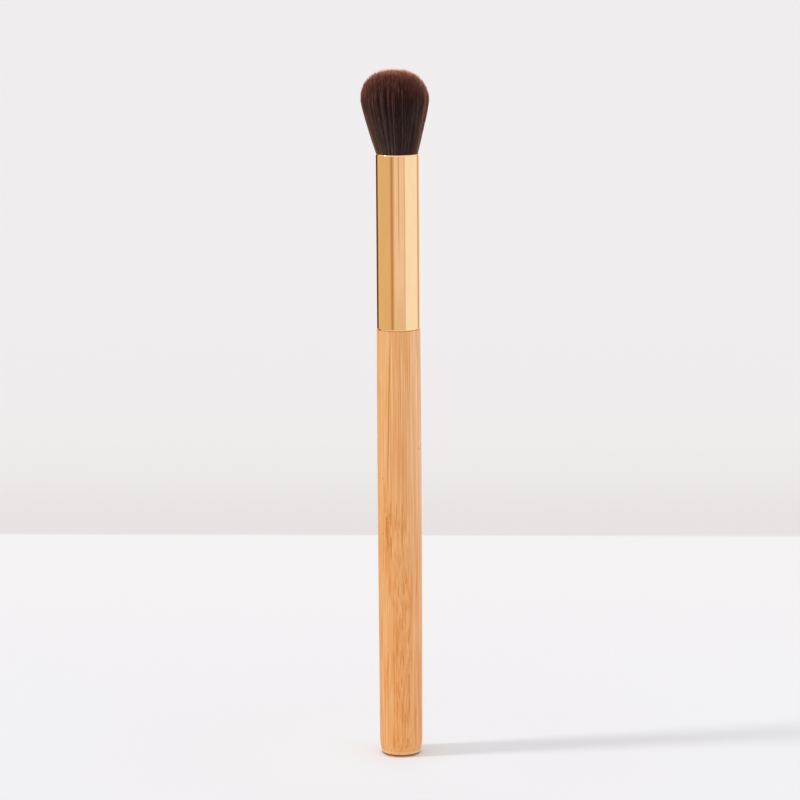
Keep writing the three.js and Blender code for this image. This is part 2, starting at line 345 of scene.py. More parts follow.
class Graph:
    """A node tree that grows call by call: most calls add nodes and give back the last one's output."""

    def __init__(self, tree):
        self.tree = tree
        tree.nodes.clear()

    def add(self, kind, **settings):
        node = self.tree.nodes.new(kind)
        for name, value in settings.items():
            setattr(node, name, value)
        return node

    def put(self, socket, value):
        """A link into the socket, or a constant on it."""
        if isinstance(value, bpy.types.NodeSocket):
            self.tree.links.new(value, socket)
        elif socket.type == "RGBA":
            socket.default_value = (*value, 1.0)
        else:
            socket.default_value = value

    def math(self, operation, first, second=0.0, clamp=False):
        node = self.add("ShaderNodeMath", operation=operation, use_clamp=clamp)
        self.put(node.inputs[0], first)
        self.put(node.inputs[1], second)
        return node.outputs[0]

    def plus(self, first, second):
        return self.math("ADD", first, second)

    def minus(self, first, second):
        return self.math("SUBTRACT", first, second)

    def times(self, first, second):
        return self.math("MULTIPLY", first, second)

    def distance(self, across, along):
        """How far from the middle a point is that lies this far across and along."""
        return self.math("SQRT", self.plus(self.math("POWER", across, 2.0), self.math("POWER", along, 2.0)))

    def blend(self, share, first, second):
        """The colour that lies a share of the way from the first colour to the second. The node's sockets
        6 and 7 and its output 2 are the ones for colours."""
        node = self.add("ShaderNodeMix", data_type="RGBA")
        self.put(node.inputs[0], share)
        self.put(node.inputs[6], first)
        self.put(node.inputs[7], second)
        return node.outputs[2]

    def step(self, value, low, high, start=0.0, end=1.0):
        """A smooth step from start to end as the value goes from low to high."""
        node = self.add("ShaderNodeMapRange", interpolation_type="SMOOTHSTEP")
        names = ("Value", "From Min", "From Max", "To Min", "To Max")
        for name, number in zip(names, (value, low, high, start, end)):
            self.put(node.inputs[name], number)
        return node.outputs[0]

    def fade(self, value, low, high):
        """A smooth step down from 1 to 0 as the value goes from low to high."""
        return self.step(value, low, high, 1.0, 0.0)

    def window(self, value, rise_start, rise_end, fall_start, fall_end):
        """A smooth step up to 1 and, further on, a smooth step down to 0."""
        return self.times(self.step(value, rise_start, rise_end), self.fade(value, fall_start, fall_end))

    def split(self, vector):
        node = self.add("ShaderNodeSeparateXYZ")
        self.put(node.inputs[0], vector)
        return node.outputs[0], node.outputs[1], node.outputs[2]

    def join(self, x, y, z):
        node = self.add("ShaderNodeCombineXYZ")
        for socket, value in zip(node.inputs, (x, y, z)):
            self.put(socket, value)
        return node.outputs[0]

    def noise(self, vector, scale=1.0, detail=1.0):
        node = self.add("ShaderNodeTexNoise")
        self.put(node.inputs["Vector"], vector)
        self.put(node.inputs["Scale"], scale)
        self.put(node.inputs["Detail"], detail)
        return node.outputs[0]

    def grain(self, x, y, z, squeeze, scale, detail=1.0):
        """Noise that is drawn out along Z, because z is squeezed before it is read."""
        return self.noise(self.join(x, y, self.times(z, squeeze)), scale, detail)

    def ramp(self, value, stops):
        """A run of colours: each stop is (place, colour)."""
        node = self.add("ShaderNodeValToRGB")
        elements = node.color_ramp.elements
        while len(elements) < len(stops):
            elements.new(1.0)
        for element, (place, colour) in zip(elements, stops):
            element.position = place
            element.color = (*colour, 1.0)
        self.put(node.inputs[0], value)
        return node.outputs[0]

    def bump(self, height, relief):
        """The normal of a surface that stands out by its height times the relief."""
        node = self.add("ShaderNodeBump")
        self.put(node.inputs["Strength"], 1.0)
        self.put(node.inputs["Distance"], relief)
        self.put(node.inputs["Height"], height)
        return node.outputs[0]

    def place(self, coordinates):
        """The place that is shaded, as x, y and z."""
        return self.split(self.add("ShaderNodeTexCoord").outputs[coordinates])

    def millimetres(self):
        """The place on the object, in millimetres, as x, y and z."""
        node = self.add("ShaderNodeVectorMath", operation="SCALE")
        self.put(node.inputs[0], self.add("ShaderNodeTexCoord").outputs["Object"])
        self.put(node.inputs["Scale"], 1 / MM)
        return self.split(node.outputs[0])

    def strand(self):
        """The place on a strand's map: across the map and along the strand."""
        across, along, _ = self.split(self.add("ShaderNodeUVMap", uv_map="strand").outputs[0])
        return across, along

    def principled(self, **values):
        """The surface shader, joined to the output. Names are its socket names with _ for a space."""
        shader = self.add("ShaderNodeBsdfPrincipled")
        for name, value in values.items():
            self.put(shader.inputs[name.replace("_", " ")], value)
        output = self.add("ShaderNodeOutputMaterial")
        self.tree.links.new(shader.outputs[0], output.inputs["Surface"])


def new_graph(name):
    material = bpy.data.materials.new(name)
    material.use_nodes = True
    return material, Graph(material.node_tree)


# Materials


def stripe(graph, x, z, place, drift, half_width, low, high):
    """A soft upright line: its place at the top, its sideways drift per mm, its half width and its ends."""
    middle = graph.plus(graph.times(graph.minus(z, high), drift), place)
    off = graph.math("ABSOLUTE", graph.minus(x, middle))
    line = graph.fade(off, LINE_CORE * half_width, half_width)
    soft = LINE_FADE * (high - low)
    return graph.times(line, graph.window(z, low - soft, low + soft, high - soft, high))


def pit(graph, x, z, place, height):
    """A small dark speck in the wood, a little taller than it is wide."""
    across = graph.minus(x, place)
    along = graph.times(graph.minus(z, height), PIT_SQUEEZE)
    return graph.fade(graph.distance(across, along), *PIT_EDGE)


def scarred_wood(graph, x, y, z, colour):
    """The colour with the scar of a culm node on it: swerving orange streaks."""
    off = graph.math("ABSOLUTE", graph.minus(x, SCAR_X))
    spread = graph.times(graph.fade(off, *SCAR_EDGE), graph.window(z, *SCAR_RUN))
    bend = graph.grain(x, y, z, squeeze=0.25, scale=0.9)
    swerved = graph.plus(x, graph.times(bend, SCAR_SWERVE))
    streaks = graph.grain(swerved, y, z, squeeze=0.09, scale=4.0)
    strength = graph.step(streaks, 0.45, 0.6, start=0.15, end=0.9)
    return graph.blend(graph.times(spread, strength), colour, SCAR_COLOUR)


def marked_wood(graph, x, z, colour, lines, pits):
    """The colour with the strip's own lines and pits on it."""
    for *line, strength, tint in lines:
        share = graph.times(stripe(graph, x, z, *line), strength)
        colour = graph.blend(share, colour, tint)
    for place, height in pits:
        share = graph.times(pit(graph, x, z, place, height), PIT_STRENGTH)
        colour = graph.blend(share, colour, PIT_COLOUR)
    return colour


def foot_highlight_and_shade(graph, z, colour):
    """The colour with a highlight painted as a pale ring above the edge of the foot, and shade painted as a
    dark line on the edge, where the foot meets the floor.
    """
    # Painted highlight: a pale ring just above the edge of the foot
    foot_highlight = graph.times(graph.window(z, *FOOT_HIGHLIGHT_RING), FOOT_HIGHLIGHT_STRENGTH)
    colour = graph.blend(foot_highlight, colour, FOOT_HIGHLIGHT_COLOUR)
    # Painted shade: a dark line on the edge, where the foot meets the floor
    contact_shade = graph.times(graph.step(z, *CONTACT_SHADE_START, start=0.35, end=0.95), graph.fade(z, *CONTACT_SHADE_END))
    return graph.blend(contact_shade, colour, CONTACT_SHADE_COLOUR)


def fibre_colour(graph, z, share, low, high):
    """A share of the way from deep to pale fibres, round one colour at the foot and another at the top."""
    runs = []
    for ground in (low, high):
        deep = [part * (1 - spread) for part, spread in zip(ground, FIBRE_SPREAD)]
        pale = [part * (1 + spread) for part, spread in zip(ground, FIBRE_SPREAD)]
        runs.append(graph.blend(share, deep, pale))
    return graph.blend(graph.step(z, *GROUND_RUN), *runs)


def bamboo(name, seed, tilt, dive, low, high, lines, pits=(), scarred=False):
    """Lacquered bamboo with its fibres along Z, from one colour at the foot to another at the top. The
    fibres tilt sideways by a slope and, low on the handle, dive into the blank, so that the vascular
    bundles cut the surface as short flecks. The scar, the lines and the pits are on the front alone."""
    material, graph = new_graph(name)
    x, y, z = graph.millimetres()
    wander = graph.grain(seed, 0.0, z, squeeze=0.05, scale=1.0)
    across = graph.plus(graph.plus(x, seed), graph.times(z, -tilt))
    across = graph.plus(across, graph.times(wander, FIBRE_WANDER))
    below = graph.math("MINIMUM", graph.minus(z, DIVE_BELOW), 0.0)
    depth = graph.plus(y, graph.times(below, -dive))

    fibres = graph.grain(across, depth, z, squeeze=0.015, scale=3.2, detail=2.0)
    bands = graph.grain(across, depth, z, squeeze=0.01, scale=1.1)
    fine = graph.step(fibres, 0.36, 0.64, end=FIBRE_SHARE)
    broad = graph.step(bands, 0.3, 0.7, end=1 - FIBRE_SHARE)
    colour = fibre_colour(graph, z, graph.plus(fine, broad), low, high)

    spots = graph.grain(across, depth, z, squeeze=0.02, scale=2.6, detail=0.0)
    bundles = graph.times(graph.step(spots, 0.57, 0.67), graph.step(z, *BUNDLE_FADE, start=0.85, end=0.3))
    colour = graph.blend(bundles, colour, BUNDLE_COLOUR)

    thin = graph.grain(across, depth, z, squeeze=0.008, scale=6.2, detail=0.0)
    strength = graph.step(z, *FINE_LINES_RISE, start=0.25, end=0.45)
    strength = graph.plus(strength, graph.step(z, *TOP_LINES_RISE, end=0.3))
    colour = graph.blend(graph.times(graph.step(thin, 0.56, 0.68), strength), colour, DEEP_LINE_COLOUR)
    colour = graph.blend(graph.times(graph.fade(thin, 0.32, 0.44), strength), colour, PALE_LINE_COLOUR)

    own = scarred_wood(graph, x, y, z, colour) if scarred else colour
    own = marked_wood(graph, x, z, own, lines, pits)
    colour = graph.blend(graph.fade(y, *MARKS_FADE), colour, own)

    smear = graph.grain(x, y, z, squeeze=0.1, scale=0.7, detail=2.0)
    height = graph.minus(graph.times(fibres, 0.6), graph.times(bundles, 0.5))
    graph.principled(
        Base_Color=foot_highlight_and_shade(graph, z, colour),
        Roughness=graph.step(smear, 0.2, 0.8, start=0.36, end=0.48),
        Normal=graph.bump(height, relief=0.012 * MM),
        Specular_IOR_Level=0.4,
    )
    return material


def gold():
    """Polished gold anodised tube, with faint drawing lines and a soft haze."""
    material, graph = new_graph("gold_tube")
    x, y, z = graph.millimetres()
    drawn = graph.grain(x, y, z, squeeze=0.01, scale=9.0, detail=2.0)
    haze = graph.grain(x, y, z, squeeze=0.4, scale=0.5, detail=2.0)
    graph.principled(
        Base_Color=graph.blend(graph.step(haze, 0.3, 0.7), *GOLD_COLOURS),
        Metallic=1.0,
        Roughness=graph.plus(graph.step(haze, 0.3, 0.75, start=0.02, end=0.04), graph.times(drawn, 0.015)),
        Normal=graph.bump(drawn, relief=0.0004 * MM),
    )
    return material


def filament():
    """Brown synthetic filament, read along each strand: dark in the body and redder at the very tip.
    Across the map lie the shades, from dark strands to light ones, and last the tall ones, whose tan ends
    are a painted glow of the light that shines through thin tips.
    Flecks along each strand move its shade up and down."""
    material, graph = new_graph("brown_filament")
    shade, along = graph.strand()
    from_tip, *runs = zip(*FILAMENT_RUN)
    places = [1 - distance * MM / STRAND_SPAN for distance in from_tip]
    # The tall filaments' run ends in tan: a painted glow of light shining through their thin tips
    dark, light, tall = (graph.ramp(along, list(zip(places, run))) for run in runs)
    place = graph.join(graph.times(shade, FLECKS_ACROSS), graph.times(along, FLECKS_ALONG), 0.0)
    fleck = graph.noise(place)
    moved = graph.times(graph.minus(fleck, 0.5), FLECK_CONTRAST)
    share = graph.times(graph.math("DIVIDE", shade, TALL_SHADE), SHADE_WEIGHT)
    colour = graph.blend(graph.math("ADD", share, moved, clamp=True), dark, light)
    graph.principled(
        Base_Color=graph.blend(graph.math("GREATER_THAN", shade, TALL_SHADE), colour, tall),
        Roughness=graph.step(fleck, 0.3, 0.7, start=0.45, end=0.6),
        Specular_IOR_Level=0.12,
        Specular_Tint=(1.0, 0.75, 0.62),
        Subsurface_Weight=0.4,
        Subsurface_Radius=(1.0, 0.35, 0.22),
        Subsurface_Scale=0.1 * MM,
        Sheen_Weight=1.0,
        Sheen_Tint=(1.0, 0.46, 0.31),
        Sheen_Roughness=0.42,
        Normal=graph.bump(fleck, relief=0.002 * MM),
    )
    return material


def soaked_root():
    """The root ends of the filaments, soaked in resin."""
    material, graph = new_graph("soaked_root")
    ends = graph.grain(*graph.millimetres(), squeeze=0.05, scale=7.0)
    graph.principled(
        Base_Color=graph.blend(graph.step(ends, 0.35, 0.65), *SOAKED_COLOURS),
        Roughness=graph.step(ends, 0.3, 0.7, start=0.25, end=0.4),
        Normal=graph.bump(ends, relief=0.02 * MM),
    )
    return material


def cotton_thread():
    """Twisted cotton: the ply runs across the thread, which is read along its length."""
    material, graph = new_graph("cotton_thread")
    around, along = graph.strand()
    turns = graph.plus(around, graph.times(along, THREAD_TWISTS))
    ply = graph.math("ABSOLUTE", graph.math("SINE", graph.times(turns, math.tau)))
    fuzz = graph.noise(graph.join(around, graph.times(along, THREAD_FUZZ), 0.0), scale=8.0, detail=2.0)
    graph.principled(
        Base_Color=graph.blend(graph.times(ply, fuzz), *THREAD_COLOURS),
        Roughness=graph.step(fuzz, 0.2, 0.8, start=0.8, end=0.95),
        Normal=graph.bump(ply, relief=0.03 * MM),
    )
    return material


def cured(name, light, dark, smooth, rough):
    """Cured glue or resin: cloudy, with small bubbles."""
    material, graph = new_graph(name)
    place = graph.join(*graph.millimetres())
    cloud = graph.noise(place, scale=0.6, detail=2.0)
    bubbles = graph.noise(place, scale=4.0, detail=0.0)
    graph.principled(
        Base_Color=graph.blend(graph.step(cloud, 0.3, 0.7), light, dark),
        Roughness=graph.step(cloud, 0.3, 0.7, start=smooth, end=rough),
        Normal=graph.bump(bubbles, relief=0.05 * MM),
    )
    return material


def pale_floor():
    """A pale floor with the tones of a backdrop beyond an edge behind the brush, a cool tint painted round
    the foot to offset the bamboo's warm bounce light, and close in front of it a painted warm ring that
    stands in for that bounce light's glow."""
    material, graph = new_graph("pale_floor")
    x, y, z = graph.place("Object")
    clouds = graph.noise(graph.join(x, y, z), scale=4.0, detail=2.0)
    front = graph.blend(clouds, *FLOOR_FRONT)
    back = graph.blend(clouds, *FLOOR_BACK)
    near = graph.blend(graph.step(y, *FRONT_RUN), front, back)
    off = graph.distance(x, y)
    # Painted light: a cool tint against the bamboo's bounce light, then a warm ring painted as its glow
    near = graph.blend(graph.fade(off, *BOUNCE_OFFSET_PATCH), near, BOUNCE_OFFSET_COLOUR)
    ring = graph.times(graph.fade(off, *BOUNCE_GLOW_RING), graph.fade(y, *BOUNCE_GLOW_FRONT))
    near = graph.blend(ring, near, BOUNCE_GLOW_COLOUR)
    behind = graph.minus(graph.plus(y, graph.times(x, BACKDROP_SLANT)), BACKDROP_DISTANCE)
    far = graph.ramp(behind, BACKDROP_RUN)
    graph.principled(
        Base_Color=graph.blend(graph.step(behind, -BACKDROP_BLUR, BACKDROP_BLUR), near, far),
        Roughness=1.0,
        Specular_IOR_Level=0.0,
    )
    return material


# Meshes


def loft(rings, closed=False):
    """Quads between rings of points that go the same way round, with flat ends unless it closes.
    Gives the vertices, the faces and each face corner's place on a map: round the ring, along the rings."""
    rings = np.asarray(rings)
    count, sides = rings.shape[:2]
    steps = count if closed else count - 1
    faces = []
    places = []
    for step in range(steps):
        this = step * sides
        after = (step + 1) % count * sides
        low = WALL_SHARE * step / steps
        high = WALL_SHARE * (step + 1) / steps
        for side in range(sides):
            other = (side + 1) % sides
            faces.append((this + side, this + other, after + other, after + side))
            left = side / sides
            right = (side + 1) / sides
            places += [(left, low), (right, low), (right, high), (left, high)]
    if not closed:
        turn = [math.tau * side / sides for side in range(sides)]
        first = range(sides - 1, -1, -1)
        last = range((count - 1) * sides, count * sides)
        for face, angles, (u, v) in zip((first, last), (turn[::-1], turn), CAP_PLACES):
            faces.append(tuple(face))
            places += [(u + CAP_R * math.cos(angle), v + CAP_R * math.sin(angle)) for angle in angles]
    return rings.reshape(-1, 3).tolist(), faces, places


def add_piece(name, shape, material, node, normals=None):
    """A new mesh that stands for a solid of the frame, with its own normals where they are given."""
    vertices, faces, places = shape
    mesh = bpy.data.meshes.new(name)
    mesh.from_pydata(vertices, [], faces)
    for layer in ("strand", "OFBake"):
        mesh.uv_layers.new(name=layer).data.foreach_set("uv", np.asarray(places, np.float32).ravel())
    mesh.materials.append(material)
    mesh.shade_smooth()
    if normals is None:
        mesh.set_sharp_from_angle(angle=SHARP_ANGLE)
    else:
        mesh.normals_split_custom_set_from_vertices(normals)
    piece = bpy.data.objects.new(name, mesh)
    bpy.context.scene.collection.objects.link(piece)
    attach(piece, "root")
    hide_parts(node)


def bezier(start, control, end, steps):
    """Points of a quadratic curve, without its start."""
    share = np.linspace(0, 1, steps + 1)[1:, None]
    rest = 1 - share
    return rest**2 * np.array(start) + 2 * share * rest * np.array(control) + share**2 * np.array(end)


def handle_outline(tenon_top):
    """The turned outline as (radius, height), from the edge of the foot to the end of the tenon."""
    shoulder_r = ferrule_r - SHOULDER_SETBACK
    flat = (FOOT_R - FOOT_EDGE, 0.0)
    foot = (FOOT_R, FOOT_EDGE)
    lower = (LOWER_R, FOOT_ROUND_HEIGHT)
    swell = (SWELL_R, SWELL_HEIGHT)
    shoulder = (shoulder_r, HANDLE_LENGTH - SHOULDER_EDGE)
    top = (shoulder_r - SHOULDER_EDGE, HANDLE_LENGTH)
    parts = [
        [flat],
        bezier(flat, (FOOT_R, 0.0), foot, EDGE_STEPS),
        bezier(foot, (LOWER_R, FOOT_ROUND_HEIGHT / 2), lower, FOOT_ROUND_STEPS),
        bezier(lower, (SWELL_R, (FOOT_ROUND_HEIGHT + SWELL_HEIGHT) / 2), swell, BODY_STEPS),
        bezier(swell, (SWELL_R, (SWELL_HEIGHT + shoulder[1]) / 2), shoulder, NECK_STEPS),
        bezier(shoulder, (shoulder_r, HANDLE_LENGTH), top, EDGE_STEPS),
        [(tenon_r, HANDLE_LENGTH), (tenon_r, tenon_top - TENON_CHAMFER)],
        [(tenon_r - TENON_CHAMFER, tenon_top)],
    ]
    return np.concatenate([np.asarray(part) for part in parts])


def arc(radius, start, end, steps):
    """Points of a turned arc from one side of a strip to the other, with its edges broken at the seams.
    Angles run from the front, -Y, towards +X."""
    edge = SEAM_EDGE / radius
    angles = np.concatenate(([start], np.linspace(start + edge, end - edge, steps), [end]))
    reach = np.full(len(angles), radius)
    reach[[0, -1]] -= SEAM_EDGE / 2
    return np.stack((reach * np.sin(angles), -reach * np.cos(angles)), axis=1)


def strip_section(radius, low_x, high_x):
    """A strip's section: the turned arcs between its two sawn faces."""
    low = math.asin(max(low_x / radius, -1))
    high = math.asin(min(high_x / radius, 1))
    if low_x <= -radius:
        return arc(radius, -math.pi - high, high, 2 * ARC_STEPS)
    if high_x >= radius:
        return arc(radius, low, math.pi - low, 2 * ARC_STEPS)
    front = arc(radius, low, high, ARC_STEPS)
    back = arc(radius, math.pi - high, math.pi - low, ARC_STEPS)
    return np.concatenate((front, back))


def strip_woods():
    """The bamboo of each strip."""
    left = bamboo(
        "bamboo_left", seed=3.1, tilt=0.02, dive=0.0,
        low=(0.825, 0.41, 0.153), high=(0.8, 0.42, 0.153),
        lines=LEFT_LINES, pits=LEFT_PITS, scarred=True,
    )
    middle = bamboo(
        "bamboo_middle", seed=12.4, tilt=0.0, dive=0.075,
        low=(0.85, 0.38, 0.115), high=(0.836, 0.425, 0.158),
        lines=MIDDLE_LINES,
    )
    right = bamboo(
        "bamboo_right", seed=29.7, tilt=-0.004, dive=0.01,
        low=(0.87, 0.39, 0.137), high=(0.905, 0.51, 0.24),
        lines=RIGHT_LINES, pits=RIGHT_PITS,
    )
    return {"left": left, "middle": middle, "right": right}


def add_handle():
    """The three strips of the handle, from the sawn faces that the solids have."""
    middle_low, middle_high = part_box("handle_middle_strip")
    left_seam = (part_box("handle_left_strip")[1].x + middle_low.x) / 2
    right_seam = (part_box("handle_right_strip")[0].x + middle_high.x) / 2
    outline = handle_outline(middle_high.z)
    far = 2 * SWELL_R
    strips = {"left": (-far, left_seam), "middle": (left_seam, right_seam), "right": (right_seam, far)}
    woods = strip_woods()
    for side, (low_x, high_x) in strips.items():
        rings = []
        for radius, height in outline:
            section = strip_section(radius, low_x, high_x)
            rings.append(np.column_stack((section, np.full(len(section), height))))
        add_piece(f"handle_{side}", loft(rings), woods[side], f"handle_{side}_strip")


def circle(radius, height, steps):
    """Points of a level circle round the axis of the brush."""
    angles = np.linspace(0, math.tau, steps, endpoint=False)
    return np.stack((radius * np.cos(angles), radius * np.sin(angles), np.full(steps, height)), axis=1)


def add_ferrule():
    """The tube: straight outside and inside, with the same bevelled rim at both ends."""
    upper = [(ferrule_r - inward * MM, mouth - back * MM) for inward, back in RIM_OUTLINE]
    lower = [(ferrule_r - inward * MM, ferrule_low.z + back * MM) for inward, back in RIM_OUTLINE]
    section = upper + lower[::-1]
    rings = [circle(radius, height, ROUND_STEPS) for radius, height in section]
    add_piece("gold_ferrule", loft(rings, closed=True), gold(), "ferrule")


def bundle_radius(height):
    """The radius of the whole tuft at a height above the ferrule's mouth."""
    belly = (BELLY_R, FLARE_HEIGHT)
    run = bezier((mouth_r, 0.0), (BELLY_R, FLARE_HEIGHT - FLARE_EASE), belly, FLARE_STEPS)
    flare = np.concatenate(([(root_r, -ROOT_DEPTH), (mouth_r, 0.0)], run))
    return np.interp(height, flare[:, 1], flare[:, 0])


def unit(vectors):
    """The vectors, each with a length of 1."""
    return vectors / np.linalg.norm(vectors, axis=1)[:, None]


def spiral(count, spread, rng):
    """Points set out evenly over a disc of radius 1 in a sunflower spiral, each moved a little."""
    index = np.arange(count)
    reach = np.sqrt((index + 0.5) / count)
    angle = index * GOLDEN_ANGLE
    points = np.stack((reach * np.cos(angle), reach * np.sin(angle)), axis=1)
    points += rng.normal(0, spread, points.shape)
    return points / np.maximum(1, np.linalg.norm(points, axis=1))[:, None]


def search_tree(points):
    """A tree that finds the points of a disc that lie near a place."""
    tree = KDTree(len(points))
    for index, (x, y) in enumerate(points):
        tree.insert((x, y, 0), index)
    tree.balance()
    return tree


def nearest(points, centres):
    """For each point, which centre is nearest."""
    tree = search_tree(centres)
    return np.array([tree.find((x, y, 0))[1] for x, y in points])


def set_apart(points, gap, rng):
    """Which points are picked when they are tried in a random order and none may lie within a gap of
    another."""
    tree = search_tree(points)
    picked = np.zeros(len(points), bool)
    for index in rng.permutation(len(points)):
        around = [other for _, other, _ in tree.find_range((*points[index], 0), gap)]
        picked[index] = not picked[around].any()
    return picked


def gathering(homes, wisps, wisp, rng):
    """The way from each filament's home towards its wisp and its clump, where the tuft gathers most."""
    clumps = spiral(CLUMP_COUNT, CLUMP_JITTER, rng)
    clump = nearest(wisps, clumps)[wisp]
    wisp_pull = rng.uniform(*WISP_PULL, WISP_COUNT)[wisp]
    clump_pull = rng.uniform(*CLUMP_PULL, CLUMP_COUNT)[clump]
    return wisp_pull[:, None] * (wisps[wisp] - homes) + clump_pull[:, None] * (clumps[clump] - homes)


def swaying(wisp, rng):
    """How far each filament's tip leans off: with its wisp, and a little by itself."""
    stray = np.where(rng.random(WISP_COUNT) < STRAY_SHARE, STRAY_SWAY, WISP_SWAY)
    wisp_sway = rng.uniform(-1, 1, (WISP_COUNT, 2)) * stray[:, None]
    return wisp_sway[wisp] + rng.normal(0, FILAMENT_SWAY, (FILAMENT_COUNT, 2))


def shading(wisps, wisp, is_tall, rng):
    """Each filament's shade from 0 to 1: light wisps set apart among dark ones, and tall filaments last."""
    is_light = set_apart(wisps, LIGHT_GAP * math.sqrt(math.pi / WISP_COUNT), rng)
    light = rng.uniform(*LIGHT_TONES, WISP_COUNT)
    dark = rng.uniform(*DARK_TONES, WISP_COUNT)
    tone = np.where(is_light, light, dark)[wisp] + rng.normal(0, TONE_SPREAD, FILAMENT_COUNT)
    shade = np.clip(tone, 0, LIGHTEST_TONE) * TALL_SHADE
    shade[is_tall] = rng.uniform(TALL_SHADE, 1, FILAMENT_COUNT)[is_tall]
    return shade


def bending(homes, gather, sway, tips, rng):
    """The filaments' centre lines, each a row of points from the root to the tip."""
    root = np.full((FILAMENT_COUNT, 1), -ROOT_DEPTH)
    tip = tips[:, None]
    heights = np.concatenate((root, tip * np.array(RING_SHARES), tip - TIP_TAPER, tip), axis=1)
    risen = np.clip(heights / tip, 0, 1)[:, :, None]
    gathered = np.interp(risen, *zip(*GATHER_RUN))
    phase = rng.uniform(0, math.tau, (FILAMENT_COUNT, 1, 2)) + math.tau * risen
    wave = WAVE * np.sin(phase) * np.sin(math.pi * risen)
    place = homes[:, None] + gather[:, None] * gathered + sway[:, None] * risen**SWAY_POWER + wave
    place /= np.maximum(1, np.linalg.norm(place, axis=2) / EDGE_REACH)[:, :, None]
    flat = place * bundle_radius(heights)[:, :, None]
    lean = (heights + LEAN_START) / (FLARE_HEIGHT + DOME_HEIGHT + LEAN_START)
    flat[:, :, 0] -= TUFT_LEAN * np.clip(lean, 0, 1)
    return np.concatenate((flat, heights[:, :, None] + mouth), axis=2)


def filament_paths(rng):
    """The filaments' centre lines, their shades, and the way that the tuft's surface faces at their tips.
    Filaments gather into wisps, and wisps into clumps, most of all half-way up, and part again at the
    tips."""
    homes = spiral(FILAMENT_COUNT, HOME_JITTER, rng)
    wisps = spiral(WISP_COUNT, WISP_JITTER, rng)
    wisp = nearest(homes, wisps)
    gather = gathering(homes, wisps, wisp, rng)
    sway = swaying(wisp, rng)
    wisp_trim = rng.normal(0, WISP_TRIM, WISP_COUNT)
    short = wisp_trim[wisp] + rng.normal(MEAN_TRIM, TRIM_SPREAD, FILAMENT_COUNT)

    ends = homes + gather * GATHER_RUN[-1][1] + sway
    reach = np.minimum(np.linalg.norm(ends, axis=1) / EDGE_REACH, 1)
    rise = np.sqrt(1 - reach**DOME_POWER)
    tips = FLARE_HEIGHT + DOME_HEIGHT * rise - np.clip(short, 0, LONGEST_TRIM) - TIP_DROP
    outward = unit(np.column_stack((ends / BELLY_R, rise / DOME_HEIGHT)))
    facing = unit(outward + rng.normal(0, WISP_TURN, (WISP_COUNT, 3))[wisp])
    is_tall = (short < TALL_SHORTNESS) & (rise > TALL_RISE)
    shade = shading(wisps, wisp, is_tall, rng)
    return bending(homes, gather, sway, tips, rng), shade, facing


def filament_surface(paths, facing):
    """The corners of three-sided filaments round the paths, drawn to a fine tip, and their normals, which
    lean towards the way the tuft faces there, as packed fibres catch the light."""
    count, rings = paths.shape[:2]
    widths = FILAMENT_R * np.array(RING_WIDTHS)[None, :, None]
    corners = []
    normals = []
    for side in range(FILAMENT_SIDES):
        angle = math.tau * side / FILAMENT_SIDES + np.arange(count) * GOLDEN_ANGLE
        around = np.stack((np.cos(angle), np.sin(angle), np.zeros(count)), axis=1)
        corners.append(paths + widths * around[:, None, :])
        leaning = around * (1 - FACING_SHARE) + facing * FACING_SHARE
        normals.append(np.repeat(leaning[:, None, :], rings, axis=1))
    return np.stack(corners, axis=2).reshape(-1, 3), unit(np.stack(normals, axis=2).reshape(-1, 3))


def filament_map(paths, shade):
    """Where the filaments lie on their map: the two sides of each one's column, which stands for its shade,
    and how far along the map each ring is, with the tip at 1."""
    lengths = np.linalg.norm(np.diff(paths, axis=1), axis=2)
    to_tip = np.concatenate((lengths[:, ::-1].cumsum(axis=1)[:, ::-1], np.zeros((len(paths), 1))), axis=1)
    column = np.minimum((shade * SHADES).astype(int), SHADES - 1)
    left = (column + COLUMN_MARGIN) / SHADES
    right = (column + 1 - COLUMN_MARGIN) / SHADES
    return left, right, 1 - to_tip / STRAND_SPAN


def filament_shape(paths, shade, facing):
    """Filaments along the paths, closed at both ends, as a shape with its map, and their normals."""
    vertices, normals = filament_surface(paths, facing)
    lefts, rights, along = filament_map(paths, shade)
    rings = paths.shape[1]
    faces = []
    places = []
    for strand, (left, right) in enumerate(zip(lefts, rights)):
        base = strand * rings * FILAMENT_SIDES
        for ring in range(rings - 1):
            this = base + ring * FILAMENT_SIDES
            after = this + FILAMENT_SIDES
            low = along[strand, ring]
            high = along[strand, ring + 1]
            for side in range(FILAMENT_SIDES):
                other = (side + 1) % FILAMENT_SIDES
                faces.append((this + side, this + other, after + other, after + side))
                places += [(left, low), (right, low), (right, high), (left, high)]
        last = base + (rings - 1) * FILAMENT_SIDES
        faces.append((base + 2, base + 1, base))
        faces.append((last, last + 1, last + 2))
        for level in (along[strand, 0], along[strand, -1]):
            places += [(left, level - STRAND_END), (right, level - STRAND_END), (right, level)]
    return (vertices.tolist(), faces, places), normals


def add_tuft():
    """The tuft: the filaments, in sectors round the brush, and their resin-soaked root."""
    rng = np.random.default_rng(SEED)
    paths, shade, facing = filament_paths(rng)
    material = filament()
    angles = np.arctan2(paths[:, 1, 1], paths[:, 1, 0]) % math.tau
    sectors = np.minimum((angles / math.tau * TUFT_SECTORS).astype(int), TUFT_SECTORS - 1)
    for sector in range(TUFT_SECTORS):
        chosen = sectors == sector
        shape, normals = filament_shape(paths[chosen], shade[chosen], facing[chosen])
        add_piece(f"tuft_filaments_{sector + 1}", shape, material, "tuft", normals)
    top = mouth - ROOT_DEPTH
    outline = [
        (mouth_r, top - ROOT_THICKNESS),
        (mouth_r, top),
        (mouth_r - ROOT_EDGE, top + ROOT_EDGE),
        (root_r, top + 2 * ROOT_EDGE),
    ]
    rings = [circle(radius, height, ROOT_STEPS) for radius, height in outline]
    add_piece("tuft_root", loft(rings), soaked_root(), "tuft")


